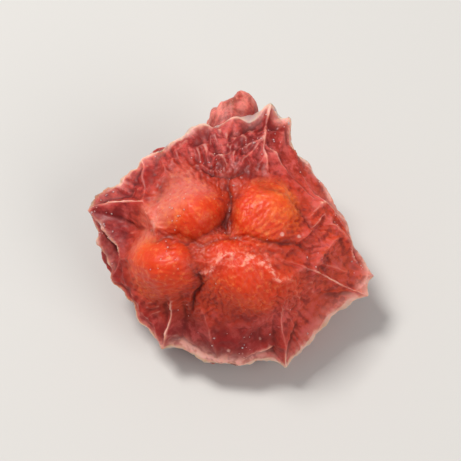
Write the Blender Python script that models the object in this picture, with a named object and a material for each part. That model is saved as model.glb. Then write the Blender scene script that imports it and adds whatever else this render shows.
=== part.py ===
"""Dried schisandra berry, one grown body: a thin skin drawn into crests and hollow
panels round its seeds, whose humps stand out of it as rounded lobes.

The skin starts as the tight hull of its crests' corners, cut into small triangles.
Each point then moves along its line from the berry's middle: panels sink in, lobes,
folds and wrinkles rise, and the resting spot is pressed flat.
Run with Blender 4.5. Lengths in the constants are millimetres, the scene is in metres.
"""

import math

import bmesh
import bpy
import numpy as np

BERRY_NAME = "dried_schisandra_berry"
NODE_NAME = "dried_berry"
MM = 0.001

# The face with the four lobes leans back from straight up by this angle.
FACE_LEAN = math.radians(28.0)

# Corners of the skin's outer crest, as right, up and out of the leaning face.
RIM_CORNERS = (
    (1.06, 4.08, -0.35),
    (1.66, 3.55, -0.30),
    (3.25, 0.75, -0.22),
    (3.84, -0.36, -0.16),
    (4.12, -0.95, -0.10),
    (4.00, -1.55, -0.04),
    (1.46, -3.20, 0.14),
    (-0.30, -3.22, 0.24),
    (-1.88, -2.86, 0.20),
    (-3.48, -1.00, 0.05),
    (-4.42, 0.96, -0.20),
    (-2.55, 2.45, 0.05),
    (-0.75, 3.48, -0.15),
)

# Corners of the skin between the outer crest and the lobes, then under the lobes.
SLOPE_CORNERS = (
    (0.95, 2.95, 0.52),
    (2.55, 0.85, 0.85),
    (-3.15, -0.45, 0.72),
    (-2.60, 1.30, 0.95),
)
PEAK_CORNERS = (
    (-1.45, -0.32, 1.80),
    (1.35, -0.50, 1.76),
)

# Corners of the back, as right, away and up from the ground under the berry's middle.
BACK_CORNERS = (
    (-1.60, 3.05, 1.70),
    (1.90, 2.85, 1.35),
    (3.20, 0.60, 0.85),
    (-3.35, 0.45, 1.05),
)
FOOT_CORNERS = (
    (1.30, -1.65, -0.80),
    (1.65, 0.75, -0.80),
    (-0.20, 1.50, -0.80),
    (-1.75, 0.60, -0.80),
    (-1.35, -1.40, -0.80),
)

# The berry's middle stands this high over the ground.
REST_DEPTH = 2.45

# How far a panel sinks in from its crests as a share of its distance, and how soon.
PANEL_SINK = 0.16
PANEL_REACH = 0.50

# Each seed's humps: the middle, then the half sizes, in the leaning face's axes.
LEFT_SEED = (
    ((-1.18, 0.80, 0.30), (1.16, 0.94, 1.72)),
    ((-1.66, -0.58, 0.25), (1.18, 0.92, 1.82)),
    ((-1.35, 1.05, -0.70), (1.35, 1.25, 1.45)),
    ((-1.60, -0.85, -0.75), (1.20, 1.10, 1.35)),
)
RIGHT_SEED = (
    ((0.82, 0.62, 0.32), (1.04, 1.14, 1.72)),
    ((0.50, -0.92, 0.30), (1.46, 0.88, 1.98)),
    ((-0.20, -0.30, 0.30), (1.10, 0.80, 1.52)),
    ((1.00, 0.90, -0.75), (1.25, 1.25, 1.40)),
    ((1.25, -1.20, -0.75), (1.20, 1.10, 1.30)),
)

# How softly the humps of a seed, the two seeds, and skin and seed run together.
HUMP_VALLEY = 0.60
SEED_VALLEY = 0.40
SKIN_FILLET = 0.95

# How uneven the humps are, over what length.
HUMP_UNEVEN = 0.08
HUMP_LENGTH = 1.7

# Thin folds of skin, seen from the front of the face: both ends as right and up, then
# height and half width.
FOLDS = (
    ((-2.72, 1.38, 0), (-1.90, 0.22, 0), 0.13, 0.13),
    ((-1.20, -0.46, 0), (2.00, -0.62, 0), 0.15, 0.18),
    ((-0.35, 2.10, 0), (-0.75, 3.10, 0), 0.12, 0.16),
    ((-1.55, 2.00, 0), (-2.10, 2.70, 0), 0.10, 0.16),
    ((-2.30, 1.62, 0), (-0.70, 2.14, 0), 0.08, 0.14),
)

# Thin creases between the lobes and round them, given in the same way, with a depth.
CREASES = (
    ((-0.25, 1.80, 0), (-0.25, 0.24, 0), 0.11, 0.11),
    ((-2.50, 0.15, 0), (-1.30, 0.26, 0), 0.08, 0.11),
    ((-1.30, 0.26, 0), (0.50, 0.14, 0), 0.08, 0.11),
    ((0.50, 0.10, 0), (1.95, -0.22, 0), 0.09, 0.11),
    ((-1.00, -0.25, 0), (-0.95, -0.95, 0), 0.10, 0.11),
    ((-0.86, -0.85, 0), (-1.05, -1.75, 0), 0.09, 0.12),
    ((-2.40, 1.35, 0), (-1.50, 1.85, 0), 0.09, 0.12),
    ((-1.50, 1.85, 0), (0.80, 2.00, 0), 0.08, 0.12),
    ((0.80, 2.00, 0), (1.80, 1.04, 0), 0.09, 0.12),
    ((1.80, 1.04, 0), (2.10, 0.40, 0), 0.09, 0.12),
)

# How crooked the folds and creases are, over what length, and how soon they fade at
# their ends.
LINE_WOBBLE = 0.13
LINE_WAVE = 1.4
LINE_FADE = 0.04

# Thick lip along the bottom of the rim: height, half width, and where it begins and ends.
LIP_HEIGHT = 0.16
LIP_REACH = 0.30
LIP_START = -1.30
LIP_FULL = -2.60

# Scar where the stalk was: its way from the middle, half width and height, then the pit
# in it and the groove round its foot, with their places and reach in half widths.
SCAR_HEADING = (0.02, 3.50, -1.25)
SCAR_HALF_WIDTH = 0.78
SCAR_HEIGHT = 1.28
SCAR_PIT = 0.34
SCAR_PIT_REACH = 0.42
SCAR_GROOVE = 0.22
SCAR_GROOVE_PLACE = 1.25
SCAR_GROOVE_REACH = 0.32

# Slow bends of the crests, and the wrinkles of the skin.
BEND_LENGTH = 4.0
BEND_SIZE = 0.09
WRINKLE_LENGTH = 1.9
WRINKLE_HEIGHT = 0.10
LOBE_SHARE = 0.25
WAVES = 9
SEED = 7

# Each edge of the hull is cut into this many pieces.
EDGE_PIECES = 14

SKIN_COLOUR = (0.33, 0.045, 0.03)
SKIN_ROUGHNESS = 0.36


def leaning(points):
    """Turns upright axes into the leaning face's own."""
    x, y, z = np.asarray(points, float).T
    cos, sin = math.cos(FACE_LEAN), math.sin(FACE_LEAN)
    return np.stack([x, y * cos + z * sin, z * cos - y * sin], axis=-1)


def upright(points):
    """Turns the leaning face's own axes upright."""
    right, up, out = np.asarray(points, float).T
    cos, sin = math.cos(FACE_LEAN), math.sin(FACE_LEAN)
    return np.stack([right, up * cos - out * sin, up * sin + out * cos], axis=-1)


def waves(points, length, seed):
    """A smooth random field of about unit size, with hills about one length apart."""
    random = np.random.default_rng(seed)
    total = np.zeros(len(points))
    for _ in range(WAVES):
        heading = random.normal(size=3)
        heading *= random.uniform(0.7, 1.4) * 2 * math.pi / (length * np.linalg.norm(heading))
        total += np.sin(points @ heading + random.uniform(0, 2 * math.pi))
    return total * math.sqrt(2 / WAVES)


def make_hull():
    """The tight hull of all the corners, in the leaning face's axes."""
    low = np.array(BACK_CORNERS + FOOT_CORNERS) - (0, 0, REST_DEPTH)
    hull = bmesh.new()
    for corner in (*RIM_CORNERS, *SLOPE_CORNERS, *PEAK_CORNERS, *leaning(low)):
        hull.verts.new(corner)
    bmesh.ops.convex_hull(hull, input=hull.verts[:])
    bmesh.ops.recalc_face_normals(hull, faces=hull.faces[:])
    return hull


def panel_planes(hull):
    """The outward normals and distances of the hull's panels, each flat one once."""
    planes = {}
    for face in hull.faces:
        normal = np.array(face.normal)
        reach = float(normal @ np.array(face.verts[0].co))
        planes[tuple(np.round(normal, 2)) + (round(reach, 1),)] = (normal, reach)
    normals, reaches = zip(*planes.values())
    return np.array(normals), np.array(reaches)


def crest_gap(points, normals, reaches):
    """How far each hull point is from its nearest crest."""
    distances = reaches / np.maximum(points @ normals.T, 0.02)
    nearest, second = np.sort(distances, axis=1)[:, :2].T
    return (second - nearest) * np.linalg.norm(points, axis=1)


def hump_radius(directions, middle, half_sizes):
    """Distance to the far side of an egg shape, or nothing where the line misses it."""
    across = directions / half_sizes
    offset = np.array(middle) / half_sizes
    length = (across**2).sum(axis=1)
    along = across @ offset
    root = along**2 - length * (offset @ offset - 1)
    return np.where(root > 0, (along + np.sqrt(np.maximum(root, 0))) / length, 0)


def smooth_max(first, second, width):
    """The larger of two distances, with a rounded valley between them."""
    share = np.clip(0.5 + 0.5 * (first - second) / width, 0, 1)
    return second + (first - second) * share + width * share * (1 - share)


def seed_radius(directions, humps):
    """Distance to the skin that lies tight on one seed."""
    radius = np.zeros(len(directions))
    for middle, half_sizes in humps:
        hump = hump_radius(directions, middle, half_sizes)
        radius = smooth_max(radius, hump, HUMP_VALLEY)
    return radius


def fold_height(points, start, end, height, half_width):
    """A thin ridge between two places, fading out at its ends."""
    start, end = np.array(start), np.array(end)
    along = end - start
    share = np.clip((points - start) @ along / (along @ along), 0, 1)
    away = np.linalg.norm(points - start - share[:, None] * along, axis=1)
    fade = np.sin(math.pi * np.clip(share, LINE_FADE, 1 - LINE_FADE)) ** 0.5
    return height * fade * np.exp(-away / half_width)


def face_lines(points, lines):
    """Height of thin, crooked lines on the front of the face."""
    seen = points * (1, 1, 0)
    for axis in range(2):
        seen[:, axis] += LINE_WOBBLE * waves(points, LINE_WAVE, SEED + 20 + axis)
    front = np.clip(points[:, 2], 0, 1)
    return front * sum(fold_height(seen, *line) for line in lines)


def scar_height(directions, radius):
    """A low round boss with a pit in it and a groove round it."""
    heading = np.array(SCAR_HEADING) / np.linalg.norm(SCAR_HEADING)
    away = np.linalg.norm(directions - heading, axis=1) * radius / SCAR_HALF_WIDTH
    boss = SCAR_HEIGHT * np.exp(-(away**4))
    pit = SCAR_PIT * np.exp(-((away / SCAR_PIT_REACH) ** 2))
    groove = SCAR_GROOVE * np.exp(-(((away - SCAR_GROOVE_PLACE) / SCAR_GROOVE_REACH) ** 2))
    return boss - pit - groove


def berry_points(hull_points, normals, reaches):
    """The finished surface for points of the hull, in the leaning face's axes."""
    gap = crest_gap(hull_points, normals, reaches)
    points = hull_points * (1 - PANEL_SINK * (1 - np.exp(-gap / PANEL_REACH)))[:, None]
    bends = [waves(points, BEND_LENGTH, SEED + axis) for axis in range(3)]
    points = points + BEND_SIZE * np.stack(bends, axis=-1)
    skin = np.linalg.norm(points, axis=1)
    directions = points / skin[:, None]
    seeds = smooth_max(
        seed_radius(directions, LEFT_SEED),
        seed_radius(directions, RIGHT_SEED),
        SEED_VALLEY,
    )
    seeds = seeds + HUMP_UNEVEN * waves(directions * seeds[:, None], HUMP_LENGTH, SEED + 3)
    radius = smooth_max(skin, seeds, SKIN_FILLET)
    on_skin = np.clip((skin - seeds) / SKIN_FILLET, LOBE_SHARE, 1)
    points = directions * radius[:, None]
    ridges = 0.5 - np.abs(waves(points, WRINKLE_LENGTH, SEED + 5))
    radius = radius + WRINKLE_HEIGHT * on_skin * ridges
    radius = radius + face_lines(points, FOLDS) - face_lines(points, CREASES)
    radius = radius + scar_height(directions, radius)
    low_share = np.clip((points[:, 1] - LIP_START) / (LIP_FULL - LIP_START), 0, 1)
    radius = radius + LIP_HEIGHT * low_share * np.exp(-gap / LIP_REACH)
    return directions * radius[:, None]


def make_berry():
    """The berry's body, standing on its resting spot."""
    skin = make_hull()
    normals, reaches = panel_planes(skin)
    bmesh.ops.subdivide_edges(
        skin, edges=skin.edges[:], cuts=EDGE_PIECES - 1, use_grid_fill=True
    )
    hull_points = np.array([vert.co[:] for vert in skin.verts])
    points = upright(berry_points(hull_points, normals, reaches))
    points[:, 2] = np.maximum(points[:, 2], -REST_DEPTH)
    low, high = points.min(axis=0), points.max(axis=0)
    points -= ((low[0] + high[0]) / 2, (low[1] + high[1]) / 2, low[2])
    for vert, point in zip(skin.verts, points):
        vert.co = point * MM
    body = bpy.data.meshes.new(NODE_NAME)
    skin.to_mesh(body)
    skin.free()
    body.shade_smooth()
    return bpy.data.objects.new(NODE_NAME, body)


def skin_material():
    material = bpy.data.materials.new("dried_skin")
    material.use_nodes = True
    shader = material.node_tree.nodes["Principled BSDF"]
    shader.inputs["Base Color"].default_value = (*SKIN_COLOUR, 1.0)
    shader.inputs["Roughness"].default_value = SKIN_ROUGHNESS
    shader.inputs["Metallic"].default_value = 0.0
    return material


def main():
    for item in list(bpy.data.objects):
        bpy.data.objects.remove(item, do_unlink=True)
    collection = bpy.data.collections.new(BERRY_NAME)
    bpy.context.scene.collection.children.link(collection)
    berry = make_berry()
    berry.data.materials.append(skin_material())
    collection.objects.link(berry)


main()
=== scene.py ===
"""The looks of a dried schisandra berry: its wrinkled, half-clear skin drawn tight over
the humps of its seeds, lying on a pale floor in soft light.

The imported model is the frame. The skin here follows the same corners, humps and folds
as the solid, in millimetres, with far more points, and then wrinkles as real skin does:
it is made a little too large for the flesh under it and buckles.
"""

import math

import bmesh
import bpy
import numpy as np
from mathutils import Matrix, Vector
from mathutils.bvhtree import BVHTree


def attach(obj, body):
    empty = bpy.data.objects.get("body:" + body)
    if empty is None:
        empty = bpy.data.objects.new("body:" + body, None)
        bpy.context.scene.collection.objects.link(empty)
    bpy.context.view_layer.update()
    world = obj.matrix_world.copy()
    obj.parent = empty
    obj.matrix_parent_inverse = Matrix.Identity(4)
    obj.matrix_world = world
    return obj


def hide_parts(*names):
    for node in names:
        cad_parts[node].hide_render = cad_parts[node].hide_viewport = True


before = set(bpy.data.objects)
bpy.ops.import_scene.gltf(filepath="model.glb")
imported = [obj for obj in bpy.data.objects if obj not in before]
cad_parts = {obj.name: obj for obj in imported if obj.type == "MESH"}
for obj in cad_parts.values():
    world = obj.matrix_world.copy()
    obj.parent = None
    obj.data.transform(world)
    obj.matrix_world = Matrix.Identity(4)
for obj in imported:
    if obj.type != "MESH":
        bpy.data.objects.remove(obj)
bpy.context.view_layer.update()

NODE = "dried_berry"
MM = 0.001

# The face with the four lobes leans back from straight up by this angle.
FACE_LEAN = math.radians(28.0)

# Corners of the skin's crests, as right, up and out of the leaning face.
RIM_CORNERS = (
    (1.06, 4.08, -0.35),
    (1.66, 3.55, -0.30),
    (3.25, 0.75, -0.22),
    (3.84, -0.36, -0.16),
    (4.12, -0.95, -0.10),
    (4.00, -1.55, -0.04),
    (1.46, -3.20, 0.14),
    (-0.30, -3.22, 0.24),
    (-1.88, -2.86, 0.20),
    (-3.48, -1.00, 0.05),
    (-4.42, 0.96, -0.20),
    (-2.55, 2.45, 0.05),
    (-0.75, 3.48, -0.15),
)
SLOPE_CORNERS = (
    (0.95, 2.95, 0.52),
    (2.55, 0.85, 0.85),
    (-3.15, -0.45, 0.72),
    (-2.60, 1.30, 0.95),
)
PEAK_CORNERS = (
    (-1.45, -0.32, 1.80),
    (1.35, -0.50, 1.76),
)

# Corners of the back, as right, away and up from the ground under the berry's middle.
BACK_CORNERS = (
    (-1.60, 3.05, 1.70),
    (1.90, 2.85, 1.35),
    (3.20, 0.60, 0.85),
    (-3.35, 0.45, 1.05),
)
FOOT_CORNERS = (
    (1.30, -1.65, -0.80),
    (1.65, 0.75, -0.80),
    (-0.20, 1.50, -0.80),
    (-1.75, 0.60, -0.80),
    (-1.35, -1.40, -0.80),
)
REST_DEPTH = 2.45

# How far the panels between the corners are sunk, and over what way from a crest. A line
# that only grazes a panel's plane counts as crossing it at this slope.
PANEL_SINK = 0.16
PANEL_REACH = 0.50
GRAZING = 0.02

# Each seed's humps: the middle, then the half sizes, in the leaning face's axes.
LEFT_SEED = (
    ((-1.18, 0.80, 0.30), (1.16, 0.94, 1.72)),
    ((-1.66, -0.58, 0.25), (1.18, 0.92, 1.82)),
    ((-1.35, 1.05, -0.70), (1.35, 1.25, 1.45)),
    ((-1.60, -0.85, -0.75), (1.20, 1.10, 1.35)),
)
RIGHT_SEED = (
    ((0.82, 0.62, 0.32), (1.04, 1.14, 1.72)),
    ((0.50, -0.92, 0.30), (1.46, 0.88, 1.98)),
    ((-0.20, -0.30, 0.30), (1.10, 0.80, 1.52)),
    ((1.00, 0.90, -0.75), (1.25, 1.25, 1.40)),
    ((1.25, -1.20, -0.75), (1.20, 1.10, 1.30)),
)

# Width of the rounded valleys between one seed's humps, between the seeds, and between
# the humps and the skin, then how uneven the humps are and over what length.
HUMP_VALLEY = 0.60
SEED_VALLEY = 0.40
SKIN_FILLET = 0.95
HUMP_UNEVEN = 0.08
HUMP_LENGTH = 1.7

# Thin folds of skin, seen from the front of the face: both ends as right and up, then
# height and half width.
FOLDS = (
    ((-2.72, 1.38, 0), (-1.90, 0.22, 0), 0.13, 0.13),
    ((-1.20, -0.46, 0), (2.00, -0.62, 0), 0.15, 0.18),
    ((-0.35, 2.10, 0), (-0.75, 3.10, 0), 0.12, 0.16),
    ((-1.55, 2.00, 0), (-2.10, 2.70, 0), 0.10, 0.16),
    ((-2.30, 1.62, 0), (-0.70, 2.14, 0), 0.08, 0.14),
)

# Thin creases between the lobes and round them, given in the same way, with a depth.
CREASES = (
    ((-0.25, 1.80, 0), (-0.25, 0.24, 0), 0.11, 0.11),
    ((-2.50, 0.15, 0), (-1.30, 0.26, 0), 0.08, 0.11),
    ((-1.30, 0.26, 0), (0.50, 0.14, 0), 0.08, 0.11),
    ((0.50, 0.10, 0), (1.95, -0.22, 0), 0.09, 0.11),
    ((-1.00, -0.25, 0), (-0.95, -0.95, 0), 0.10, 0.11),
    ((-0.86, -0.85, 0), (-1.05, -1.75, 0), 0.09, 0.12),
    ((-2.40, 1.35, 0), (-1.50, 1.85, 0), 0.09, 0.12),
    ((-1.50, 1.85, 0), (0.80, 2.00, 0), 0.08, 0.12),
    ((0.80, 2.00, 0), (1.80, 1.04, 0), 0.09, 0.12),
    ((1.80, 1.04, 0), (2.10, 0.40, 0), 0.09, 0.12),
)

# How crooked the folds and creases are, over what length, and how soon they fade at
# their ends.
LINE_WOBBLE = 0.13
LINE_WAVE = 1.4
LINE_FADE = 0.04

# Thick lip along the bottom of the rim: height, half width, and where it begins and ends.
LIP_HEIGHT = 0.16
LIP_REACH = 0.30
LIP_START = -1.30
LIP_FULL = -2.60

# Scar where the stalk was: its way from the middle, half width and height, then the pit
# in it and the groove round its foot, with their places and reach in half widths.
SCAR_HEADING = (0.02, 3.50, -1.25)
SCAR_HALF_WIDTH = 0.78
SCAR_HEIGHT = 1.28
SCAR_PIT = 0.34
SCAR_PIT_REACH = 0.42
SCAR_GROOVE = 0.22
SCAR_GROOVE_PLACE = 1.25
SCAR_GROOVE_REACH = 0.32

# Slow bends of the whole skin and ridged wrinkles on it, each with spacing and height,
# and the least share of the wrinkles, which is left on the lobes.
BEND_LENGTH = 4.0
BEND_SIZE = 0.09
WRINKLE_LENGTH = 1.9
WRINKLE_HEIGHT = 0.10
LOBE_SHARE = 0.25

# A random field sums this many waves, of lengths that vary by this share.
WAVES = 9
WAVE_VARIES = (0.7, 1.4)

# The seed of every random draw, and what is added to it for each field of waves.
SEED = 7
HUMP_FIELD = 3
WRINKLE_FIELD = 5
SPARE_FIELD = 9
BEAD_FIELD = 11
SCAR_FIELD = 13
LINE_FIELD = 20

# The skin starts as a ball of 80 triangles, each edge cut into this many pieces. The
# broad folds are worked out on a coarser ball.
EDGE_PIECES = 46
FOLD_PIECES = 16

# Small beads along the crests: height, spacing, reach, then how they fade from the upper
# left to the lower right, down to a least share.
BEAD_HEIGHT = 0.05
BEAD_LENGTH = 0.75
BEAD_REACH = 0.22
BEAD_FADE = 6.0
BEAD_LEAST = 0.2

# Bumps on the scar: height, spacing, and how far from the middle their pattern is laid.
SCAR_BUMP = 0.07
SCAR_BUMP_LENGTH = 0.42
SCAR_BUMP_AWAY = 3.5

# The skin wrinkles twice, first in broad folds, then in fine ones. For each: how much too
# large the skin is over the hollow panels and over the humps, and how firmly the flesh
# holds it, which sets how far apart the wrinkles come.
BROAD_WRINKLES = (0.11, 0.045, 0.030)
FINE_WRINKLES = (0.12, 0.085, 0.004)
BUCKLE_STEPS = 240
BUCKLE_PULL = 0.9
BUCKLE_STIFF = 0.10
BUCKLE_START = 0.012

# Patches with more and with less spare skin: their spacing, how much they differ, and the
# least and most share.
SPARE_LENGTH = 2.6
SPARE_VARIES = 0.35
SPARE_LEAST = 0.8
SPARE_MOST = 1.35

# Share of the spare skin that lies every way. The rest lies round the face's middle, as
# pleats, by this gain; nearer the middle than the last value the pleats fade out.
EVEN_SHARE = 0.5
PLEAT_GAIN = 1.6
PLEAT_MIDDLE = 0.01

# Places where the skin lies calmer: the place and its reach.
CALM_PLACES = (
    ((-4.00, 0.10, -0.10), 1.0),
    ((-0.40, -3.10, 0.30), 1.2),
    ((2.20, 2.40, -0.30), 1.2),
)
CALM_SHARE = 0.85

# How far round the skin is drawn over hollows, in evening steps, how fully, and the
# steps that then soften it. The broad folds are evened out in a few steps too.
DRAWN_STEPS = 120
DRAWN_SHARE = 0.5
SOFTENING_STEPS = DRAWN_STEPS // 5
FOLD_STEPS = 6

# How far round a ridge and a swelling are measured, in evening steps, and the heights
# that count as a full one.
RIDGE_STEPS = 10
RIDGE_SIZE = 0.022
SWELL_STEPS = 120
SWELL_SIZE = 0.09

# The relief tree's own inputs, in metres, except the count of grains a square metre.
RELIEF = {
    "Pit spacing": 0.00022,
    "Pit depth": 0.000014,
    "Crease spacing": 0.00045,
    "Crease depth": 0.000022,
    "Fleck spacing": 0.00048,
    "Fleck height": 0.000020,
    "Grain patches": 0.0011,
    "Grain density": 5.0e7,
    "Grain size": 0.000062,
    "Seed": SEED,
}

# A span lays a value over a share: the value where it begins and where it ends, then the
# share at each of the two. With no share given it goes from none to full.
PIT_SPAN = (0.1, 0.5, 1.0, 0.0)
HAIR_CREASE_SPAN = (0.0, 0.07, 1.0, 0.0)
HAIR_CREASE_DETAIL = 2.0
HAIR_CREASE_TWIST = 0.6
HAIR_CREASE_ON_LOBES = (0.2, 0.8, 1.0, 0.8)
FLECK_REACH = (0.50, 1.0, 0.001, 0.19)
GRAIN_PATCH_SPAN = (0.50, 0.68)
GRAIN_RIDGE_SPAN = (-0.6, 0.6)
GRAIN_ON_LOBES = (0.2, 0.9, 1.0, 0.25)
GRAIN_LEAST = 0.35
GRAIN_FLATNESS = 0.6

# The flesh over a seed at which its warm colour has faded to a third.
FLESH_DEPTH = 0.38

# The warm middle of the face that the lobes share: its middle, half sizes, soft edge and
# how square its outline is.
CORE_MIDDLE = (-0.50, -0.08)
CORE_HALF = (2.45, 2.05)
CORE_EDGE = 0.30
CORE_SQUARE = 3

# How far the pale colour reaches from the rim's crest; it is partly the thin skin's own
# pale edge and partly a painted highlight. It grows from the lower left, at a least share,
# over this way to the upper right, and stops short of the scar.
PALE_REACH = 0.09
PALE_START = -1.0
PALE_FADE = 2.5
PALE_LEAST = 0.35
PALE_STOP = 1.2

# The pale colour is twice as wide on the lip, out to this half width from this middle,
# and at the upper right, beyond this place.
PALE_LIP_MIDDLE = -0.50
PALE_LIP_HALF = 1.70
PALE_CORNER = (1.0, -0.2)

# The fold's height that is coloured in full, pale with a painted highlight, the crease's
# depth that is coloured in full with painted shade, and the reach of the brown in the
# scar's pit, in the scar's half widths.
FOLD_FULL = 0.14
SEAM_FULL = 0.12
SCAR_BROWN_REACH = 0.5

# Colours of the film over the hollow panels, the lobes over the seeds, the warm flesh
# between them, the crests' pale colour with its painted highlight, the creases' painted
# shade, the scar and the grains.
FILM_WINE = (0.22, 0.005, 0.004, 1.0)
FILM_MAUVE = (0.40, 0.020, 0.020, 1.0)
FILM_VIOLET = (0.30, 0.017, 0.026, 1.0)
FILM_BROWN = (0.64, 0.062, 0.014, 1.0)
FILM_PINK = (0.62, 0.095, 0.082, 1.0)
LOBE_DEEP = (0.66, 0.036, 0.001, 1.0)
LOBE_BRIGHT = (0.82, 0.115, 0.005, 1.0)
LOBE_PALE = (0.84, 0.21, 0.035, 1.0)
LOBE_MILKY = (0.66, 0.20, 0.17, 1.0)
LOBE_FLECK = (0.85, 0.23, 0.06, 1.0)
FLESH_WARM = (0.52, 0.036, 0.005, 1.0)
# Pale crest colour: partly the skin's own pale crests, partly a painted highlight.
CREST_PALE_AND_HIGHLIGHT = (0.90, 0.46, 0.38, 1.0)
# Painted shade, laid dark in the creases and the hollows.
CREASE_SHADE = (0.075, 0.003, 0.003, 1.0)
SCAR_PINK = (0.95, 0.30, 0.24, 1.0)
SCAR_BROWN = (0.22, 0.070, 0.040, 1.0)
GRAIN_PALE_AND_GLINT = (0.82, 0.46, 0.40, 1.0)

# Layers of numbers kept on the skin's points that the colours follow.
COLOUR_LAYERS = (
    "tight", "ridge", "swell", "glow", "core", "seam", "fold", "rim", "scar", "pit",
    "grain", "fleck",
)

# Noises that the colours follow: patches a metre, detail, roughness and twist.
COLOUR_NOISES = {
    "patch": (300.0, 3.0, 0.50, 0.0),
    "stretch": (700.0, 2.0, 0.50, 0.0),
    "mottle": (1500.0, 5.0, 0.72, 0.5),
    "speckle": (3400.0, 2.0, 0.60, 0.0),
    "pores": (5200.0, 3.0, 0.60, 0.0),
    "dapple": (6200.0, 3.0, 0.65, 0.0),
}

# How steeply the film's colour changes from left to right, a metre, and how much the way
# right counts against the way up in the two slanting patterns.
SIDE_SLOPE = 250.0
DIAGONAL_SLANT = 0.8
CORNER_SLANT = 0.6

# Tints laid one over another: the pattern that each follows, the values where it begins
# and where it is full, its share there, and its colour.
FILM_TINTS = (
    ("patch", 0.42, 0.60, 1.0, FILM_MAUVE),
    ("side", 0.6, 1.4, 0.85, FILM_BROWN),
    ("side", 0.3, -0.6, 0.8, FILM_VIOLET),
    ("mottle", 0.47, 0.66, 0.75, FILM_PINK),
    ("mottle", 0.51, 0.34, 0.75, FILM_WINE),
    ("speckle", 0.52, 0.66, 0.65, FILM_PINK),
    # Deeper wine towards the lower left: partly the skin's deep red, partly a painted shadow.
    ("diagonal", -0.0012, -0.0034, 0.6, FILM_WINE),
)
WARM_FILM_TINTS = (
    ("speckle", 0.48, 0.36, 0.6, FILM_WINE),
    ("mottle", 0.52, 0.66, 0.35, FILM_PINK),
)
LOBE_TINTS = (
    ("patch", 0.40, 0.60, 1.0, LOBE_BRIGHT),
    # Painted highlight: the lobes' bulging tops are laid paler.
    ("swell", 0.4, 1.8, 0.35, LOBE_PALE),
    ("mottle", 0.50, 0.72, 0.5, LOBE_PALE),
    ("mottle", 0.48, 0.30, 0.5, LOBE_DEEP),
    ("speckle", 0.48, 0.80, 0.6, LOBE_FLECK),
    ("speckle", 0.48, 0.30, 0.5, LOBE_DEEP),
    ("corner", -0.0001, 0.0007, 0.6, LOBE_MILKY),
    ("height", -0.0009, -0.0017, 0.72, LOBE_DEEP),
    ("dapple", 0.52, 0.68, 0.45, LOBE_FLECK),
    ("dapple", 0.48, 0.34, 0.45, LOBE_DEEP),
)
SCAR_TINTS = (
    ("mottle", 0.32, 0.54, 1.0, SCAR_PINK),
    ("dapple", 0.50, 0.36, 0.5, FILM_MAUVE),
)

# Shares of the flesh's glow, the warm middle, the creases' painted shade and the scar in
# the colour, and how much the mottling frays the lobes' edges.
GLOW_SHARE = 0.75
CORE_SHARE = 0.85
SEAM_SHADE_SHARE = 0.7
SCAR_SHARE = 0.9
LOBE_FRAY = 0.8

# Spans of the colours: the lobes' edge, what breaks up the pale folds and their painted
# highlight, where ridges and swellings get a painted highlight, each with what breaks that
# up, how little of it shows on the lobes, where hollows get painted shade, what breaks up
# the rim's pale colour and painted highlight, and the pale flecks with their painted glint.
LOBE_SPAN = (0.32, 0.92)
FOLD_BREAKS = (0.44, 0.60, 0.05, 0.75)
RIDGE_HIGHLIGHT = (0.4, 2.2)
RIDGE_HIGHLIGHT_BREAKS = (0.36, 0.60, 0.15, 0.95)
SWELL_HIGHLIGHT = (1.0, 2.8, 0.0, 0.6)
SWELL_HIGHLIGHT_BREAKS = (0.40, 0.60, 0.2, 1.0)
HIGHLIGHT_ON_LOBES = (0.2, 0.8, 1.0, 0.25)
HOLLOW_SHADE = (-0.2, -1.6, 0.0, 0.6)
RIM_BREAKS = (0.42, 0.58, 0.50, 1.0)
FLECK_PALE_AND_GLINT = (0.05, 0.6, 0.0, 0.55)

# Gloss: roughness by the mottling and by the depth of the hollows, the thin coat, and
# the pores that break up its shine.
ROUGH_MOTTLE = (0.3, 0.7, 0.42, 0.66)
ROUGH_HOLLOW = (0.0, -1.2, 0.0, 0.2)
COAT_SPAN = (0.3, 1.0, 0.03, 0.08)
COAT_ROUGHNESS = 0.2
SKIN_SPECULAR = 0.35
PORE_DEPTH = 0.00003
PORE_STRENGTH = 0.5

# Light that goes into the skin: its share, and how far each colour of it travels.
SCATTER_SHARE = 0.6
SCATTER_COLOURS = (1.0, 0.22, 0.10)
SCATTER_REACH = 0.0009

# The camera: what it looks at, its distance, its height as an angle, its lens in
# millimetres, and the nearest and farthest it sees.
VIEW_MIDDLE = (0.0, 0.0, 0.0021)
CAMERA_DISTANCE = 0.038
CAMERA_RISE = math.radians(62.0)
CAMERA_LENS = 100.0
CAMERA_NEAR = 0.001
CAMERA_FAR = 10.0

# Each light's place, size, power and colour, then the room's light and the floor.
LIGHTS = {
    "key": ((-0.05, 0.04, 0.115), 0.035, 0.155, (1.0, 0.98, 0.95)),
    "fill": ((0.08, -0.06, 0.08), 0.08, 0.065, (1.0, 0.96, 0.92)),
}
ROOM_COLOUR = (0.9, 0.9, 0.92, 1.0)
ROOM_LIGHT = 0.36
FLOOR_SIZE = 0.6
FLOOR_COLOUR = (0.60, 0.59, 0.57, 1.0)
FLOOR_ROUGHNESS = 0.8


def leaning(points):
    """Turns upright axes into the leaning face's own."""
    x, y, z = np.asarray(points, float).T
    cos, sin = math.cos(FACE_LEAN), math.sin(FACE_LEAN)
    return np.stack([x, y * cos + z * sin, z * cos - y * sin], axis=-1)


def upright(points):
    """Turns the leaning face's own axes upright."""
    right, up, out = np.asarray(points, float).T
    cos, sin = math.cos(FACE_LEAN), math.sin(FACE_LEAN)
    return np.stack([right, up * cos - out * sin, up * sin + out * cos], axis=-1)


def unit(vectors):
    """The same directions, each with a length of one."""
    return vectors / np.linalg.norm(vectors, axis=1)[:, None]


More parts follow.
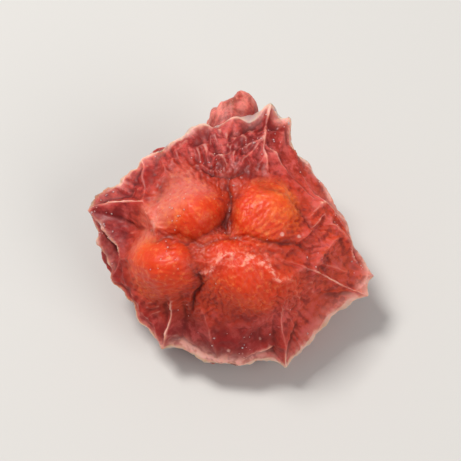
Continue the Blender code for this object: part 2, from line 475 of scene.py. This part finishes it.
def waves(points, length, seed):
    """A smooth random field of about unit size, with hills about one length apart."""
    random = np.random.default_rng(seed)
    total = np.zeros(len(points))
    for _ in range(WAVES):
        heading = random.normal(size=3)
        count = random.uniform(*WAVE_VARIES) * 2 * math.pi
        heading *= count / (length * np.linalg.norm(heading))
        total += np.sin(points @ heading + random.uniform(0, 2 * math.pi))
    return total * math.sqrt(2 / WAVES)


def panel_planes():
    """The outward normals and distances of the panels of the corners' tight hull."""
    low = np.array(BACK_CORNERS + FOOT_CORNERS) - (0, 0, REST_DEPTH)
    hull = bmesh.new()
    for corner in (*RIM_CORNERS, *SLOPE_CORNERS, *PEAK_CORNERS, *leaning(low)):
        hull.verts.new(corner)
    bmesh.ops.convex_hull(hull, input=hull.verts[:])
    bmesh.ops.recalc_face_normals(hull, faces=hull.faces[:])
    planes = {}
    for face in hull.faces:
        normal = np.array(face.normal)
        reach = float(normal @ np.array(face.verts[0].co))
        # Faces that are almost in one plane count as one panel.
        planes[tuple(np.round(normal, 2)) + (round(reach, 1),)] = (normal, reach)
    hull.free()
    normals, reaches = zip(*planes.values())
    return np.array(normals), np.array(reaches)


def bare_skin(ball):
    """Points of the skin alone, with its sunk panels and slow bends, and how far each
    lies from a crest, as a number below nothing.
    """
    normals, reaches = panel_planes()
    distances = reaches / np.maximum(ball @ normals.T, GRAZING)
    nearest, second = np.sort(distances, axis=1)[:, :2].T
    off_crest = nearest - second
    sink = 1 - np.exp(off_crest / PANEL_REACH)
    points = ball * (nearest * (1 - PANEL_SINK * sink))[:, None]
    bends = [waves(points, BEND_LENGTH, SEED + axis) for axis in range(3)]
    return points + BEND_SIZE * np.stack(bends, axis=-1), off_crest


def hump_radius(directions, middle, half_sizes):
    """Distance to the far side of an egg shape, or nothing where the line misses it."""
    across = directions / half_sizes
    offset = np.array(middle) / half_sizes
    length = (across**2).sum(axis=1)
    along = across @ offset
    root = along**2 - length * (offset @ offset - 1)
    return np.where(root > 0, (along + np.sqrt(np.maximum(root, 0))) / length, 0)


def smooth_max(first, second, width):
    """The larger of two distances, with a rounded valley between them."""
    share = np.clip(0.5 + 0.5 * (first - second) / width, 0, 1)
    return second + (first - second) * share + width * share * (1 - share)


def seed_radius(directions, humps):
    """Distance to the skin that lies tight on one seed."""
    radius = np.zeros(len(directions))
    for middle, half_sizes in humps:
        hump = hump_radius(directions, middle, half_sizes)
        radius = smooth_max(radius, hump, HUMP_VALLEY)
    return radius


def both_seeds_radius(directions):
    """Distance to the skin that lies tight on either seed, a little uneven."""
    left = seed_radius(directions, LEFT_SEED)
    right = seed_radius(directions, RIGHT_SEED)
    radius = smooth_max(left, right, SEED_VALLEY)
    uneven = waves(directions * radius[:, None], HUMP_LENGTH, SEED + HUMP_FIELD)
    return radius + HUMP_UNEVEN * uneven


def fold_height(points, start, end, height, half_width):
    """A thin ridge between two places, fading out at its ends."""
    start, end = np.array(start), np.array(end)
    along = end - start
    share = np.clip((points - start) @ along / (along @ along), 0, 1)
    away = np.linalg.norm(points - start - share[:, None] * along, axis=1)
    fade = np.sin(math.pi * np.clip(share, LINE_FADE, 1 - LINE_FADE)) ** 0.5
    return height * fade * np.exp(-away / half_width)


def face_lines(points, lines):
    """Height of thin, crooked lines on the front of the face."""
    seen = points * (1, 1, 0)
    for axis in range(2):
        seen[:, axis] += LINE_WOBBLE * waves(points, LINE_WAVE, SEED + LINE_FIELD + axis)
    front = np.clip(points[:, 2], 0, 1)
    return front * sum(fold_height(seen, *line) for line in lines)


def rim_distance(directions):
    """Distance on a unit ball to the nearest line between two neighbouring rim corners."""
    corners = unit(np.array(RIM_CORNERS))
    nearest = np.full(len(directions), np.inf)
    for start, end in zip(corners, np.roll(corners, -1, axis=0)):
        along = end - start
        share = np.clip((directions - start) @ along / (along @ along), 0, 1)
        line = unit(start + share[:, None] * along)
        nearest = np.minimum(nearest, np.linalg.norm(directions - line, axis=1))
    return nearest


def scar_nearness(directions, radius):
    """How far from the scar's middle, in its own half widths."""
    heading = np.array(SCAR_HEADING) / np.linalg.norm(SCAR_HEADING)
    return np.linalg.norm(directions - heading, axis=1) * radius / SCAR_HALF_WIDTH


def scar_height(away):
    """A low round boss with a pit in it and a groove round it."""
    boss = SCAR_HEIGHT * np.exp(-(away**4))
    pit = SCAR_PIT * np.exp(-((away / SCAR_PIT_REACH) ** 2))
    groove = SCAR_GROOVE * np.exp(-(((away - SCAR_GROOVE_PLACE) / SCAR_GROOVE_REACH) ** 2))
    return boss - pit - groove


def lip_share(points):
    """How full the lip is, by how low on the face a point lies."""
    return np.clip((points[:, 1] - LIP_START) / (LIP_FULL - LIP_START), 0, 1)


def core_share(points):
    """How far inside the warm middle of the face a point lies."""
    aside = np.abs((points[:, :2] - CORE_MIDDLE) / CORE_HALF) ** CORE_SQUARE
    inside = 1 - aside.sum(axis=1) ** (1 / CORE_SQUARE)
    return np.clip(0.5 + inside / CORE_EDGE, 0, 1) * (points[:, 2] > 0)


def rim_pale_and_highlight(ball, points, radius, away):
    """How pale the rim's crest is painted, partly as the thin skin's own pale edge and partly
    as a painted highlight.
    """
    right, up = points[:, 0], points[:, 1]
    lip = lip_share(points) * np.exp(-(((right - PALE_LIP_MIDDLE) / PALE_LIP_HALF) ** 4))
    strength = np.maximum(np.clip((right + up - PALE_START) / PALE_FADE, PALE_LEAST, 1), lip)
    corner = np.clip(right - PALE_CORNER[0], 0, 1) * np.clip(up - PALE_CORNER[1], 0, 1)
    reach = PALE_REACH * (1 + np.maximum(lip, corner))
    pale = np.exp(-((rim_distance(ball) * radius / reach) ** 2))
    return pale * strength * np.clip(away - PALE_STOP, 0, 1)


def berry_shape(ball):
    """Points of the skin before it buckles, and the layers of numbers that its colours
    follow, for each direction of the ball.
    """
    points, off_crest = bare_skin(ball)
    skin = np.linalg.norm(points, axis=1)
    directions = points / skin[:, None]
    seeds = both_seeds_radius(directions)
    radius = smooth_max(skin, seeds, SKIN_FILLET)
    on_skin = np.clip((skin - seeds) / SKIN_FILLET, LOBE_SHARE, 1)
    points = directions * radius[:, None]
    ridges = 0.5 - np.abs(waves(points, WRINKLE_LENGTH, SEED + WRINKLE_FIELD))
    radius = radius + WRINKLE_HEIGHT * on_skin * ridges
    folds = face_lines(points, FOLDS)
    creases = face_lines(points, CREASES)
    radius = radius + folds - creases
    away = scar_nearness(directions, radius)
    on_scar = np.exp(-(away**4))
    radius = radius + scar_height(away)
    bumps = waves(SCAR_BUMP_AWAY * directions, SCAR_BUMP_LENGTH, SEED + SCAR_FIELD)
    radius = radius + SCAR_BUMP * bumps * on_scar
    radius = radius + LIP_HEIGHT * lip_share(points) * np.exp(off_crest / LIP_REACH)
    beads = np.exp(off_crest / BEAD_REACH) * on_skin
    beads = beads * np.clip(0.5 + (points[:, 1] - points[:, 0]) / BEAD_FADE, BEAD_LEAST, 1)
    radius = radius + BEAD_HEIGHT * beads * waves(points, BEAD_LENGTH, SEED + BEAD_FIELD)
    layers = {
        "tight": np.clip((seeds - skin) / SKIN_FILLET + 0.5, 0, 1),
        "glow": np.exp(-np.maximum(skin - seeds, 0) / FLESH_DEPTH),
        "core": core_share(points),
        "rim": rim_pale_and_highlight(ball, points, radius, away),
        "fold": np.clip(folds / FOLD_FULL, 0, 1) ** 2,
        "seam": np.clip(creases / SEAM_FULL, 0, 1),
        "scar": on_scar,
        "pit": np.exp(-((away / SCAR_BROWN_REACH) ** 2)),
    }
    return directions * radius[:, None], layers


def make_ball(pieces):
    """A ball of even triangles, with each edge of the first 80 cut into pieces."""
    ball = bmesh.new()
    bmesh.ops.create_icosphere(ball, subdivisions=2, radius=1.0)
    bmesh.ops.subdivide_edges(
        ball, edges=ball.edges[:], cuts=pieces - 1, use_grid_fill=True
    )
    mesh = bpy.data.meshes.new(NODE + "_skin")
    ball.to_mesh(mesh)
    ball.free()
    return mesh


def read_points(mesh):
    """The places of the mesh's points."""
    flat = np.empty(len(mesh.vertices) * 3)
    mesh.vertices.foreach_get("co", flat)
    return flat.reshape(-1, 3)


def read_normals(mesh):
    """The way out of the skin at each of the mesh's points."""
    flat = np.empty(len(mesh.vertices) * 3)
    mesh.vertex_normals.foreach_get("vector", flat)
    return flat.reshape(-1, 3)


def edge_ends(mesh):
    """The first and the second point of each edge, as two rows."""
    flat = np.empty(len(mesh.edges) * 2, np.int32)
    mesh.edges.foreach_get("vertices", flat)
    return flat.reshape(-1, 2).T


def edge_counts(ends, count):
    """How many edges meet at each point, as a column."""
    first, second = ends
    counts = np.bincount(first, minlength=count) + np.bincount(second, minlength=count)
    return counts[:, None]


def neighbour_mean(values, ends, counts):
    """For each point, the mean of the values at the far ends of its edges."""
    first, second = ends
    size = len(values)
    columns = [
        np.bincount(first, column[second], size) + np.bincount(second, column[first], size)
        for column in values.T
    ]
    return np.stack(columns, axis=-1) / counts


def smoothed(values, ends, steps):
    """Each point's values after evening them out with its neighbours', step by step."""
    counts = edge_counts(ends, len(values))
    for _ in range(steps):
        values = 0.5 * (values + neighbour_mean(values, ends, counts))
    return values


def spare_skin(base, tight, film_spare, hump_spare):
    """How much too large the skin is at each point, as a share of its length."""
    patches = 1.0 + SPARE_VARIES * waves(base, SPARE_LENGTH, SEED + SPARE_FIELD)
    patches = np.clip(patches, SPARE_LEAST, SPARE_MOST)
    spare = (film_spare + (hump_spare - film_spare) * tight) * patches
    for place, reach in CALM_PLACES:
        away = np.linalg.norm(base - place, axis=1) / reach
        spare = spare * (1 - CALM_SHARE * np.exp(-(away**2)))
    return spare


def grown_lengths(base, ends, spare):
    """The length that each edge would have if its spare skin lay flat."""
    first, second = ends
    edges = base[second] - base[first]
    lengths = np.linalg.norm(edges, axis=1)
    middles = base[first] + base[second]
    around = np.stack([-middles[:, 1], middles[:, 0]], axis=-1)
    around /= np.maximum(np.linalg.norm(around, axis=1), PLEAT_MIDDLE)[:, None]
    pleat = ((edges[:, :2] * around).sum(axis=1) / lengths) ** 2
    share = EVEN_SHARE + (1 - EVEN_SHARE) * PLEAT_GAIN * pleat
    return lengths * (1 + 0.5 * (spare[first] + spare[second]) * share)


def buckled(base, ends, tight, film_spare, hump_spare, hold):
    """The skin after it has grown too large for its flesh and wrinkled over it."""
    first, second = ends
    size = len(base)
    counts = edge_counts(ends, size)
    grown = grown_lengths(base, ends, spare_skin(base, tight, film_spare, hump_spare))
    random = np.random.default_rng(SEED)
    points = base + BUCKLE_START * unit(base) * random.normal(size=(size, 1))
    for _ in range(BUCKLE_STEPS):
        along = points[second] - points[first]
        length = np.linalg.norm(along, axis=1)
        pull = along * (1 - grown / length)[:, None]
        moves = [
            np.bincount(first, part, size) - np.bincount(second, part, size)
            for part in pull.T
        ]
        shift = points - base
        bend = neighbour_mean(shift, ends, counts) - shift
        bend = neighbour_mean(bend, ends, counts) - bend
        points = points + BUCKLE_PULL * np.stack(moves, axis=-1) / counts
        points = points - BUCKLE_STIFF * bend
        points = points - hold * shift
    return points


def broad_folds(ball):
    """How far the broad wrinkles move the skin, for each point of the fine ball."""
    mesh = make_ball(FOLD_PIECES)
    coarse = unit(read_points(mesh))
    points, layers = berry_shape(coarse)
    moved = buckled(points, edge_ends(mesh), layers["tight"], *BROAD_WRINKLES) - points
    triangles = [tuple(face.vertices) for face in mesh.polygons]
    tree = BVHTree.FromPolygons([Vector(place) for place in coarse], triangles)
    hits = [tree.find_nearest(Vector(place)) for place in ball]
    corners = np.array([triangles[hit[2]] for hit in hits])
    places = np.array([hit[0] for hit in hits])
    a, b, c = (coarse[corners[:, i]] for i in range(3))
    whole = np.linalg.norm(np.cross(b - a, c - a), axis=1)
    weights = [
        np.linalg.norm(np.cross(second - places, third - places), axis=1) / whole
        for second, third in ((b, c), (c, a), (a, b))
    ]
    return sum(weight[:, None] * moved[corners[:, i]] for i, weight in enumerate(weights))


def drawn_over(points, ends, thin):
    """The skin drawn tight over the hollows between the humps, as far as it can stretch."""
    headings = unit(points)
    lift = ((smoothed(points, ends, DRAWN_STEPS) - points) * headings).sum(axis=1)
    raised = points + (DRAWN_SHARE * thin * np.maximum(lift, 0))[:, None] * headings
    return raised + thin[:, None] * (smoothed(raised, ends, SOFTENING_STEPS) - raised)


def stand_out(points, ends, steps, normals):
    """How far each point stands out of its smoothed surroundings, in millimetres."""
    return ((points - smoothed(points, ends, steps)) * normals).sum(axis=1)


def write_layer(mesh, name, values):
    """Keeps one number for each point on the mesh, under a name."""
    layer = mesh.attributes.new(name, "FLOAT", "POINT")
    layer.data.foreach_set("value", np.asarray(values, np.float32))


class Graph:
    """Short calls for building a tree of nodes."""

    def __init__(self, tree):
        self.nodes, self.links = tree.nodes, tree.links

    def add(self, kind, **settings):
        """A new node with its settings."""
        node = self.nodes.new(kind)
        for name, value in settings.items():
            setattr(node, name, value)
        return node

    def give(self, socket, value):
        """Links another node's output to a socket, or sets a plain value on it."""
        if hasattr(value, "links"):
            self.links.new(value, socket)
        else:
            socket.default_value = value

    def feed(self, node, **inputs):
        """Gives values to a node's inputs by name, with _ for a space."""
        for name, value in inputs.items():
            self.give(node.inputs[name.replace("_", " ")], value)

    def named(self, name):
        """A number kept on the skin's points, read inside a tree of geometry."""
        node = self.add("GeometryNodeInputNamedAttribute", data_type="FLOAT")
        node.inputs["Name"].default_value = name
        return node.outputs["Attribute"]

    def layer(self, name):
        """A number kept on the skin's points, read inside a material."""
        return self.add("ShaderNodeAttribute", attribute_name=name).outputs["Fac"]

    def maths(self, operation, first, second=0.0, clamp=False):
        """One sum on two values."""
        node = self.add("ShaderNodeMath", operation=operation, use_clamp=clamp)
        self.give(node.inputs[0], first)
        self.give(node.inputs[1], second)
        return node.outputs[0]

    def times(self, first, second):
        """The product of two values."""
        return self.maths("MULTIPLY", first, second)

    def one_over(self, value):
        """How often a spacing fits into a metre."""
        return self.maths("DIVIDE", 1.0, value)

    def span(self, value, low, high, bottom=0.0, top=1.0):
        """The value from low to high, eased and laid over bottom to top."""
        node = self.add("ShaderNodeMapRange", interpolation_type="SMOOTHSTEP")
        self.feed(node, Value=value, From_Min=low, From_Max=high, To_Min=bottom, To_Max=top)
        return node.outputs["Result"]

    def blend(self, share, under, over):
        """One colour laid over another by a share."""
        node = self.add("ShaderNodeMix", data_type="RGBA")
        self.give(node.inputs[0], share)
        self.give(node.inputs[6], under)
        self.give(node.inputs[7], over)
        return node.outputs[2]

    def tinted(self, colour, tints, patterns):
        """A colour with tints laid over it one after another."""
        for name, low, high, most, tint in tints:
            colour = self.blend(self.span(patterns[name], low, high, 0.0, most), colour, tint)
        return colour

    def noise(self, scale, detail, roughness, twist):
        """Noise fixed to the berry, as one number from 0 to 1."""
        place = self.add("ShaderNodeTexCoord").outputs["Object"]
        node = self.add("ShaderNodeTexNoise")
        self.feed(node, Vector=place, Scale=scale, Detail=detail)
        self.feed(node, Roughness=roughness, Distortion=twist)
        return node.outputs["Fac"]


def relief_depth(graph, given, place):
    """How deep the pits and the hair-fine creases lie at each point of the skin."""
    pits = graph.add("ShaderNodeTexVoronoi", feature="F1")
    graph.feed(pits, Vector=place, Scale=graph.one_over(given["Pit spacing"]))
    pit = graph.span(pits.outputs["Distance"], *PIT_SPAN)
    hairs = graph.add("ShaderNodeTexNoise")
    graph.feed(hairs, Vector=place, Scale=graph.one_over(given["Crease spacing"]))
    graph.feed(hairs, Detail=HAIR_CREASE_DETAIL, Distortion=HAIR_CREASE_TWIST)
    from_middle = graph.maths("ABSOLUTE", graph.maths("SUBTRACT", hairs.outputs[0], 0.5))
    hair = graph.span(from_middle, *HAIR_CREASE_SPAN)
    on_lobes = graph.span(graph.named("tight"), *HAIR_CREASE_ON_LOBES)
    hair_depth = graph.times(hair, graph.times(given["Crease depth"], on_lobes))
    return graph.maths("ADD", graph.times(pit, given["Pit depth"]), hair_depth)


def relief_flecks(graph, given, place):
    """Small raised flecks, each of its own size: 1 in the middle and 0 beyond the edge."""
    flecks = graph.add("ShaderNodeTexVoronoi", feature="F1")
    graph.feed(flecks, Vector=place, Scale=graph.one_over(given["Fleck spacing"]))
    chance = graph.add("ShaderNodeSeparateXYZ")
    graph.links.new(flecks.outputs["Color"], chance.inputs[0])
    reach = graph.span(chance.outputs[0], *FLECK_REACH)
    away = graph.maths("DIVIDE", flecks.outputs["Distance"], reach)
    return graph.maths("SUBTRACT", 1.0, away, clamp=True)


def strewn_grains(graph, given, place, skin):
    """Tiny flat grains strewn in patches over the skin, fewer on the lobes."""
    tight, ridge = graph.named("tight"), graph.named("ridge")
    patch = graph.add("ShaderNodeTexNoise")
    graph.feed(patch, Vector=place, Scale=graph.one_over(given["Grain patches"]))
    in_patch = graph.span(patch.outputs[0], *GRAIN_PATCH_SPAN)
    share = graph.times(in_patch, graph.span(ridge, *GRAIN_RIDGE_SPAN))
    share = graph.times(share, graph.span(tight, *GRAIN_ON_LOBES))
    strewn = graph.add("GeometryNodeDistributePointsOnFaces")
    graph.feed(strewn, Mesh=skin, Density=graph.times(share, given["Grain density"]))
    graph.feed(strewn, Seed=given["Seed"])
    grain = graph.add("GeometryNodeMeshIcoSphere")
    graph.feed(grain, Radius=0.5, Subdivisions=1)
    marked = graph.add("GeometryNodeStoreNamedAttribute", data_type="FLOAT", domain="POINT")
    graph.feed(marked, Geometry=grain.outputs[0], Name="grain", Value=1.0)
    size = graph.add("FunctionNodeRandomValue", data_type="FLOAT")
    graph.feed(size, Min=GRAIN_LEAST, Max=1.0, Seed=given["Seed"])
    width = graph.times(size.outputs["Value"], given["Grain size"])
    shape = graph.add("ShaderNodeCombineXYZ")
    graph.feed(shape, X=width, Y=width, Z=graph.times(width, GRAIN_FLATNESS))
    placed = graph.add("GeometryNodeInstanceOnPoints")
    graph.feed(placed, Points=strewn.outputs["Points"], Instance=marked.outputs[0])
    graph.feed(placed, Rotation=strewn.outputs["Rotation"], Scale=shape.outputs[0])
    return placed.outputs[0]


def relief_tree(material):
    """Nodes that give the wrinkled skin its pits, hair-fine creases and flecks, and strew
    pale grains over it.
    """
    tree = bpy.data.node_groups.new("skin_relief", "GeometryNodeTree")
    tree.interface.new_socket(name="Skin", in_out="INPUT", socket_type="NodeSocketGeometry")
    for name in RELIEF:
        kind = "NodeSocketInt" if name == "Seed" else "NodeSocketFloat"
        tree.interface.new_socket(name=name, in_out="INPUT", socket_type=kind)
    tree.interface.new_socket(name="Skin", in_out="OUTPUT", socket_type="NodeSocketGeometry")
    graph = Graph(tree)
    given = graph.add("NodeGroupInput").outputs
    place = graph.add("GeometryNodeInputPosition").outputs[0]
    normal = graph.add("GeometryNodeInputNormal").outputs[0]
    depth = relief_depth(graph, given, place)
    fleck = relief_flecks(graph, given, place)
    flecked = graph.add("GeometryNodeStoreNamedAttribute", data_type="FLOAT", domain="POINT")
    graph.feed(flecked, Geometry=given["Skin"], Name="fleck", Value=fleck)
    rise = graph.times(fleck, given["Fleck height"])
    offset = graph.add("ShaderNodeVectorMath", operation="SCALE")
    graph.feed(offset, Vector=normal, Scale=graph.maths("SUBTRACT", rise, depth))
    moved = graph.add("GeometryNodeSetPosition")
    graph.feed(moved, Geometry=flecked.outputs[0], Offset=offset.outputs[0])
    grains = strewn_grains(graph, given, place, moved.outputs[0])
    joined = graph.add("GeometryNodeJoinGeometry")
    graph.links.new(grains, joined.inputs[0])
    graph.links.new(moved.outputs[0], joined.inputs[0])
    real = graph.add("GeometryNodeRealizeInstances")
    graph.links.new(joined.outputs[0], real.inputs[0])
    dressed = graph.add("GeometryNodeSetMaterial")
    graph.feed(dressed, Geometry=real.outputs[0], Material=material)
    out = graph.add("NodeGroupOutput")
    graph.links.new(dressed.outputs[0], out.inputs[0])
    return tree


def with_relief(mesh, material):
    """A plain mesh of the skin after the relief nodes, in metres."""
    tree = relief_tree(material)
    holder = bpy.data.objects.new("skin_form", mesh)
    bpy.context.scene.collection.objects.link(holder)
    nodes = holder.modifiers.new("relief", "NODES")
    nodes.node_group = tree
    for socket in tree.interface.items_tree:
        if socket.in_out == "INPUT" and socket.name in RELIEF:
            nodes[socket.identifier] = RELIEF[socket.name]
    seen = holder.evaluated_get(bpy.context.evaluated_depsgraph_get())
    finished = bpy.data.meshes.new_from_object(seen)
    bpy.data.objects.remove(holder, do_unlink=True)
    return finished


def skin_patterns(graph):
    """What the skin's colours follow, by name: its layers, noises and slanting fields."""
    patterns = {name: graph.layer(name) for name in COLOUR_LAYERS}
    for name, settings in COLOUR_NOISES.items():
        patterns[name] = graph.noise(*settings)
    axes = graph.add("ShaderNodeSeparateXYZ")
    graph.links.new(graph.add("ShaderNodeTexCoord").outputs["Object"], axes.inputs[0])
    right, up = axes.outputs[0], axes.outputs[1]
    fray = graph.times(graph.maths("SUBTRACT", patterns["mottle"], 0.5), LOBE_FRAY)
    patterns["height"] = up
    patterns["side"] = graph.maths("ADD", graph.times(right, SIDE_SLOPE), patterns["patch"])
    patterns["diagonal"] = graph.maths("ADD", up, graph.times(right, DIAGONAL_SLANT))
    patterns["corner"] = graph.maths("SUBTRACT", up, graph.times(right, CORNER_SLANT))
    patterns["lobe"] = graph.maths("ADD", patterns["tight"], fray)
    return patterns


def film_and_lobes(graph, patterns):
    """The dark film over the hollow panels and the bright lobes over the seeds."""
    glow = graph.times(patterns["glow"], GLOW_SHARE)
    core = graph.times(patterns["core"], CORE_SHARE)
    film = graph.tinted(FILM_WINE, FILM_TINTS, patterns)
    film = graph.blend(graph.maths("MAXIMUM", glow, core), film, FLESH_WARM)
    film = graph.tinted(film, WARM_FILM_TINTS, patterns)
    lobe = graph.tinted(LOBE_DEEP, LOBE_TINTS, patterns)
    return graph.blend(graph.span(patterns["lobe"], *LOBE_SPAN), film, lobe)


def crests_and_creases(graph, patterns, colour):
    """The colour with painted shade in the creases and hollows, and with pale folds, ridges,
    swellings and rim that are partly a painted highlight.
    """
    ridge, stretch = patterns["ridge"], patterns["stretch"]
    # Painted shade: the creases between the lobes are darkened.
    colour = graph.blend(graph.times(patterns["seam"], SEAM_SHADE_SHARE), colour, CREASE_SHADE)
    # Pale folds: partly the skin's own pale crest, partly a painted highlight.
    fold = graph.times(patterns["fold"], graph.span(patterns["dapple"], *FOLD_BREAKS))
    colour = graph.blend(fold, colour, CREST_PALE_AND_HIGHLIGHT)
    # Painted highlight: ridges and swellings are laid pale.
    off_lobes = graph.span(patterns["tight"], *HIGHLIGHT_ON_LOBES)
    painted_highlight = graph.times(graph.span(ridge, *RIDGE_HIGHLIGHT), graph.span(stretch, *RIDGE_HIGHLIGHT_BREAKS))
    colour = graph.blend(graph.times(painted_highlight, off_lobes), colour, CREST_PALE_AND_HIGHLIGHT)
    swell = graph.span(patterns["swell"], *SWELL_HIGHLIGHT)
    painted_highlight = graph.times(swell, graph.span(stretch, *SWELL_HIGHLIGHT_BREAKS))
    colour = graph.blend(graph.times(painted_highlight, off_lobes), colour, CREST_PALE_AND_HIGHLIGHT)
    # Painted shade: the hollows are darkened.
    colour = graph.blend(graph.span(ridge, *HOLLOW_SHADE), colour, CREASE_SHADE)
    # The rim's pale crest: partly the thin skin's own pale edge, partly a painted highlight.
    rim = graph.times(patterns["rim"], graph.span(patterns["speckle"], *RIM_BREAKS))
    return graph.blend(rim, colour, CREST_PALE_AND_HIGHLIGHT)


def scar_and_grains(graph, patterns, colour):
    """The colour with the pink scar, its brown pit, and the pale flecks and grains, which are
    partly pale specks and partly painted glints.
    """
    scar = graph.tinted(SCAR_BROWN, SCAR_TINTS, patterns)
    scar = graph.blend(patterns["pit"], scar, SCAR_BROWN)
    colour = graph.blend(graph.times(patterns["scar"], SCAR_SHARE), colour, scar)
    # Pale flecks and grains: partly pale specks on the skin, partly painted glints.
    fleck = graph.span(patterns["fleck"], *FLECK_PALE_AND_GLINT)
    pale = graph.maths("ADD", patterns["grain"], fleck, clamp=True)
    return graph.blend(pale, colour, GRAIN_PALE_AND_GLINT)


def skin_material():
    """The dried skin: half clear, mottled, worn pale on its crests, with a low gloss."""
    material = bpy.data.materials.new("dried_skin")
    material.use_nodes = True
    graph = Graph(material.node_tree)
    shader = graph.nodes["Principled BSDF"]
    patterns = skin_patterns(graph)
    colour = film_and_lobes(graph, patterns)
    colour = crests_and_creases(graph, patterns, colour)
    colour = scar_and_grains(graph, patterns, colour)
    mottle_rough = graph.span(patterns["mottle"], *ROUGH_MOTTLE)
    hollow_rough = graph.span(patterns["ridge"], *ROUGH_HOLLOW)
    rough = graph.maths("ADD", mottle_rough, hollow_rough)
    bump = graph.add("ShaderNodeBump")
    graph.feed(bump, Height=patterns["pores"], Distance=PORE_DEPTH, Strength=PORE_STRENGTH)
    graph.feed(
        shader,
        Base_Color=colour,
        Roughness=graph.maths("MAXIMUM", rough, patterns["grain"]),
        Coat_Weight=graph.span(patterns["lobe"], *COAT_SPAN),
        Coat_Roughness=COAT_ROUGHNESS,
        Normal=bump.outputs["Normal"],
        Specular_IOR_Level=SKIN_SPECULAR,
        Subsurface_Weight=SCATTER_SHARE,
        Subsurface_Radius=SCATTER_COLOURS,
        Subsurface_Scale=SCATTER_REACH,
    )
    return material


def make_berry():
    """The finished skin as one plain mesh, lying where the solid lies."""
    mesh = make_ball(EDGE_PIECES)
    ball = unit(read_points(mesh))
    points, layers = berry_shape(ball)
    low = upright(points).min(axis=0)
    high = upright(points).max(axis=0)
    ends = edge_ends(mesh)
    points = drawn_over(points, ends, layers["glow"])
    points = points + smoothed(broad_folds(ball), ends, FOLD_STEPS)
    points = buckled(points, ends, layers["tight"], *FINE_WRINKLES)
    points = upright(points)
    points[:, 2] = np.maximum(points[:, 2], -REST_DEPTH)
    points -= ((low[0] + high[0]) / 2, (low[1] + high[1]) / 2, -REST_DEPTH)
    mesh.vertices.foreach_set("co", (points * MM).ravel())
    mesh.update()
    normals = read_normals(mesh)
    layers["ridge"] = stand_out(points, ends, RIDGE_STEPS, normals) / RIDGE_SIZE
    layers["swell"] = stand_out(points, ends, SWELL_STEPS, normals) / SWELL_SIZE
    for name, values in layers.items():
        write_layer(mesh, name, values)
    mesh = with_relief(mesh, skin_material())
    places = read_points(mesh)
    places[:, 2] = np.maximum(places[:, 2], 0)
    mesh.vertices.foreach_set("co", places.ravel())
    mesh.shade_smooth()
    berry = bpy.data.objects.new("berry_skin", mesh)
    bpy.context.scene.collection.objects.link(berry)
    return berry


def aimed(thing, place, target):
    """Puts a camera or a light at a place, pointing at the target."""
    thing.location = place
    thing.rotation_euler = (Vector(target) - Vector(place)).to_track_quat("-Z", "Y").to_euler()


def make_camera():
    """The camera, looking down on the face as in the photograph."""
    camera = bpy.data.objects.new("camera", bpy.data.cameras.new("camera"))
    camera.data.lens = CAMERA_LENS
    camera.data.clip_start = CAMERA_NEAR
    camera.data.clip_end = CAMERA_FAR
    heading = Vector((0, -math.cos(CAMERA_RISE), math.sin(CAMERA_RISE)))
    aimed(camera, Vector(VIEW_MIDDLE) + CAMERA_DISTANCE * heading, VIEW_MIDDLE)
    bpy.context.scene.collection.objects.link(camera)
    bpy.context.scene.camera = camera


def make_light(name, place, size, power, colour):
    """One soft square light over the berry."""
    light = bpy.data.lights.new(name, "AREA")
    light.size = size
    light.energy = power
    light.color = colour
    holder = bpy.data.objects.new(name, light)
    aimed(holder, place, VIEW_MIDDLE)
    bpy.context.scene.collection.objects.link(holder)


def make_room():
    """Even, pale light from all round."""
    world = bpy.data.worlds.new("room")
    world.use_nodes = True
    background = world.node_tree.nodes["Background"]
    background.inputs["Color"].default_value = ROOM_COLOUR
    background.inputs["Strength"].default_value = ROOM_LIGHT
    bpy.context.scene.world = world
    bpy.context.scene.view_settings.view_transform = "Standard"


def make_floor():
    """A plain, pale paper floor."""
    bpy.ops.mesh.primitive_plane_add(size=FLOOR_SIZE)
    floor = bpy.context.object
    floor.name = "floor"
    material = bpy.data.materials.new("floor_paper")
    material.use_nodes = True
    shader = material.node_tree.nodes["Principled BSDF"]
    shader.inputs["Base Color"].default_value = FLOOR_COLOUR
    shader.inputs["Roughness"].default_value = FLOOR_ROUGHNESS
    floor.data.materials.append(material)


make_camera()
make_floor()
for light_name, settings in LIGHTS.items():
    make_light(light_name, *settings)
make_room()

berry = make_berry()
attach(berry, "root")
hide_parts(NODE)
